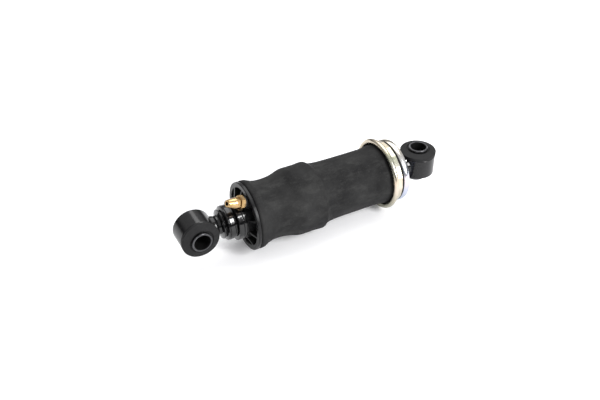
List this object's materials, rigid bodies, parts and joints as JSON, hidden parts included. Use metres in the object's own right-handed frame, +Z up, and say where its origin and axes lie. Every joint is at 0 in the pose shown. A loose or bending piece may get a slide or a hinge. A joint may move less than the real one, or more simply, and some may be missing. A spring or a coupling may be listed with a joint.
{
  "type": "truck cab air shock absorber",
  "caption": "Cab air shock: rubber air bellows over a telescopic damper, ribbed cap with brass air inlet, crimped plated end plate, rubber-bushed eyes set at right angles.",
  "frame": {"origin": "centre of the upper (cab side) eye's bore", "axes": "+X along the shock from the upper eye to the lower eye, +Z up as the shock lies on a bench and along the lower eye's bore, Y along the upper eye's bore"},
  "size_m": [0.2937, 0.0756, 0.0756],
  "materials": {
    "black_paint": "semi-gloss black paint",
    "bush_rubber": "matt moulded rubber",
    "dark_steel": "dark phosphated steel, bare at the ends",
    "gloss_boot": "glossy moulded rubber",
    "cap_plastic": "satin black glass-filled plastic",
    "brass": "machined brass",
    "seal_rubber": "moulded rubber",
    "bellows_rubber": "matt fabric-reinforced rubber",
    "yellow_zinc": "yellow passivated zinc plate",
    "clear_zinc": "clear passivated zinc plate",
    "steel": "plain steel",
    "chromed_rod": "hard chrome, ground",
    "tube_steel": "drawn steel tube",
    "sintered": "sintered iron",
    "bearing_polymer": "bronze-filled PTFE",
    "bump_foam": "cellular polyurethane"
  },
  "bodies": {
    "rod_side": {"upper_eye_ring": "black_paint", "upper_bush": "bush_rubber", "upper_stem": "black_paint", "dust_boot": "gloss_boot", "upper_washer": "steel", "upper_buffer": "seal_rubber", "end_cap": "cap_plastic", "lower_buffer": "seal_rubber", "lower_washer": "steel", "inlet_body": "brass", "inlet_nut": "brass", "inlet_ferrule": "brass", "inlet_seal": "seal_rubber", "bellows": "bellows_rubber", "bellows_clamp_ring": "steel", "piston_rod": "chromed_rod", "bump_stop": "bump_foam", "rebound_stop": "seal_rubber", "rebound_seat": "steel", "intake_discs": "steel", "piston": "sintered", "piston_band": "bearing_polymer", "rebound_discs": "steel", "piston_nut": "steel"},
    "tube_side": {"crimp_ring": "yellow_zinc", "end_plate": "clear_zinc", "reserve_tube": "tube_steel", "pressure_tube": "tube_steel", "rod_guide": "sintered", "guide_bush": "bearing_polymer", "rod_seal": "seal_rubber", "base_valve": "sintered", "base_discs": "steel", "base_pin": "steel", "tube_base": "tube_steel", "lower_stem": "black_paint", "lower_eye_ring": "black_paint", "lower_bush": "bush_rubber"},
    "upper_sleeve": {"upper_inner_sleeve": "dark_steel"},
    "lower_sleeve": {"lower_inner_sleeve": "dark_steel"}
  },
  "joints": [
    {"name": "stroke", "type": "slide", "parent": "rod_side", "child": "tube_side", "axis": [1, 0, 0], "range_m": [-0.025, 0.03], "deforming": ["bellows"]},
    {"name": "upper_sleeve_twist", "type": "hinge", "parent": "rod_side", "child": "upper_sleeve", "pos_m": [0, 0, 0], "axis": [0, 1, 0], "range_deg": [-15, 15], "stiffness_Nm_per_rad": 80},
    {"name": "lower_sleeve_twist", "type": "hinge", "parent": "tube_side", "child": "lower_sleeve", "pos_m": [0.2557, 0, 0], "axis": [0, 0, 1], "range_deg": [-15, 15], "stiffness_Nm_per_rad": 80}
  ]
}
